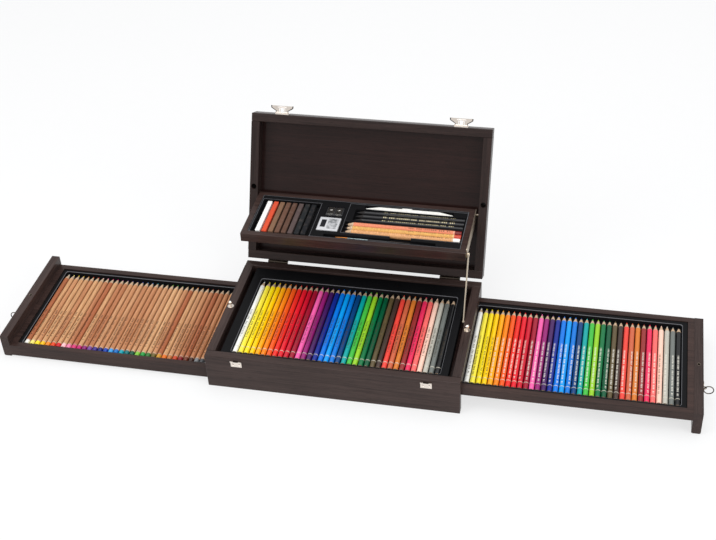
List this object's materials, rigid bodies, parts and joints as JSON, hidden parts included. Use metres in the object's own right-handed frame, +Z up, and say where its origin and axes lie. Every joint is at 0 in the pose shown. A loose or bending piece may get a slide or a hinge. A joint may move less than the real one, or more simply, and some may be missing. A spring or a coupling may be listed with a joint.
{
  "type": "pencil drawer box",
  "caption": "Wooden artists' case with a folding lid tray and a drawer pulled from each end, beds filled with pencils in colour order.",
  "frame": {"origin": "centre of the case's underside, where it rests on a table", "axes": "+X to the right along the drawers' travel, +Y to the back where the lid is hinged, +Z up"},
  "size_m": [1.1162, 0.3715, 0.2924],
  "materials": {
    "stained_wood": "satin lacquer over a dark stain",
    "stained_board": "satin lacquer over a dark stain",
    "tray_wood": "satin lacquer over a dark stain",
    "moulded_bed": "fine matt grain",
    "lacquered_pencil": "gloss lacquer, each pencil its own colour",
    "cedar_pencil": "clear lacquer over bare wood, dipped ends",
    "black_pencil": "gloss black lacquer",
    "pastel": "chalky, each stick its own colour",
    "eraser": "matt",
    "sharpener_metal": "milled",
    "rolled_paper": "matt rolled paper",
    "brush_wood": "gloss black lacquer",
    "stay_steel": "plated strip",
    "peg_wood": "bare hardwood",
    "nickel": "bright nickel plate"
  },
  "bodies": {
    "case": {"back_wall": "stained_wood", "bed_board": "stained_board", "case_bed": "moulded_bed", "case_pencils": "lacquered_pencil", "floor_board": "stained_board", "front_wall": "stained_wood", "hinge_leaf_base_left": "nickel", "hinge_leaf_base_right": "nickel", "hinge_pins": "nickel", "latch_keeper_left": "nickel", "latch_keeper_right": "nickel", "pin_bush_left": "nickel", "pin_bush_right": "nickel", "shelf_board": "stained_board", "side_rail_left": "stained_wood", "side_rail_right": "stained_wood", "stay_screw": "nickel", "stop_pegs": "peg_wood"},
    "lid": {"lid_front_wall": "stained_wood", "lid_back_wall": "stained_wood", "lid_side_left": "stained_wood", "lid_side_right": "stained_wood", "lid_panel": "stained_board", "hinge_leaf_lid_left": "nickel", "hinge_leaf_lid_right": "nickel", "latch_plate_left": "nickel", "latch_plate_right": "nickel", "tray_pivot_studs": "nickel"},
    "lid_tray": {"lid_tray_frame": "tray_wood", "lid_tray_bottom": "stained_board", "lid_tray_bed": "moulded_bed", "lid_tray_strap": "stay_steel", "pastel_sticks": "pastel", "eraser_box": "eraser", "sharpener": "sharpener_metal", "paper_stump": "rolled_paper", "black_pencils": "black_pencil", "wood_pencils": "cedar_pencil", "paint_brush": "brush_wood"},
    "stay_arm": {"stay_arm": "stay_steel"},
    "drawer_left": {"drawer_panel_left": "stained_wood", "drawer_frame_left": "tray_wood", "drawer_bottom_left": "stained_board", "drawer_bed_left": "moulded_bed", "drawer_pencils_left": "cedar_pencil", "pull_eye_left": "nickel"},
    "ring_left": {"pull_ring_left": "nickel"},
    "pin_left": {"lock_pin_left": "nickel"},
    "lever_left": {"latch_lever_left": "nickel"},
    "loop_left": {"latch_loop_left": "nickel"},
    "drawer_right": {"drawer_panel_right": "stained_wood", "drawer_frame_right": "tray_wood", "drawer_bottom_right": "stained_board", "drawer_bed_right": "moulded_bed", "drawer_pencils_right": "lacquered_pencil", "pull_eye_right": "nickel"},
    "ring_right": {"pull_ring_right": "nickel"},
    "pin_right": {"lock_pin_right": "nickel"},
    "lever_right": {"latch_lever_right": "nickel"},
    "loop_right": {"latch_loop_right": "nickel"}
  },
  "joints": [
    {"name": "lid_hinge", "type": "hinge", "parent": "case", "child": "lid", "pos_m": [0, 0.1225, 0.061], "axis": [1, 0, 0], "range_deg": [0, 115]},
    {"name": "tray_hinge", "type": "hinge", "parent": "lid", "child": "lid_tray", "pos_m": [0, 0.17314, 0.15302], "axis": [1, 0, 0], "range_deg": [-115, 0]},
    {"name": "stay_pivot", "type": "hinge", "parent": "case", "child": "stay_arm", "pos_m": [0.1786, 0.0225, 0.057], "axis": [1, 0, 0], "range_deg": [0, 115]},
    {"name": "drawer_slide_left", "type": "slide", "parent": "case", "child": "drawer_left", "axis": [1, 0, 0], "range_m": [0, 0.346]},
    {"name": "ring_hinge_left", "type": "hinge", "parent": "drawer_left", "child": "ring_left", "pos_m": [-0.5465, -0.0345, 0.026], "axis": [0, 1, 0], "range_deg": [0, 89]},
    {"name": "pin_slide_left", "type": "slide", "parent": "case", "child": "pin_left", "axis": [0, 0, 1], "range_m": [-0.002, 0.004]},
    {"name": "lever_hinge_left", "type": "hinge", "parent": "lid", "child": "lever_left", "pos_m": [-0.145, 0.22866, 0.28204], "axis": [-1, 0, 0], "range_deg": [0, 88]},
    {"name": "loop_hinge_left", "type": "hinge", "parent": "lid", "child": "loop_left", "pos_m": [-0.145, 0.22866, 0.28204], "axis": [1, 0, 0], "range_deg": [0, 90]},
    {"name": "drawer_slide_right", "type": "slide", "parent": "case", "child": "drawer_right", "axis": [-1, 0, 0], "range_m": [0, 0.346]},
    {"name": "ring_hinge_right", "type": "hinge", "parent": "drawer_right", "child": "ring_right", "pos_m": [0.5465, -0.0345, 0.026], "axis": [0, -1, 0], "range_deg": [0, 89]},
    {"name": "pin_slide_right", "type": "slide", "parent": "case", "child": "pin_right", "axis": [0, 0, 1], "range_m": [-0.002, 0.004]},
    {"name": "lever_hinge_right", "type": "hinge", "parent": "lid", "child": "lever_right", "pos_m": [0.145, 0.22866, 0.28204], "axis": [-1, 0, 0], "range_deg": [0, 88]},
    {"name": "loop_hinge_right", "type": "hinge", "parent": "lid", "child": "loop_right", "pos_m": [0.145, 0.22866, 0.28204], "axis": [1, 0, 0], "range_deg": [0, 90]}
  ],
  "couplings": [
    {"joint": "tray_hinge", "follows": "lid_hinge", "ratio": -1},
    {"joint": "stay_pivot", "follows": "lid_hinge", "ratio": 1}
  ]
}
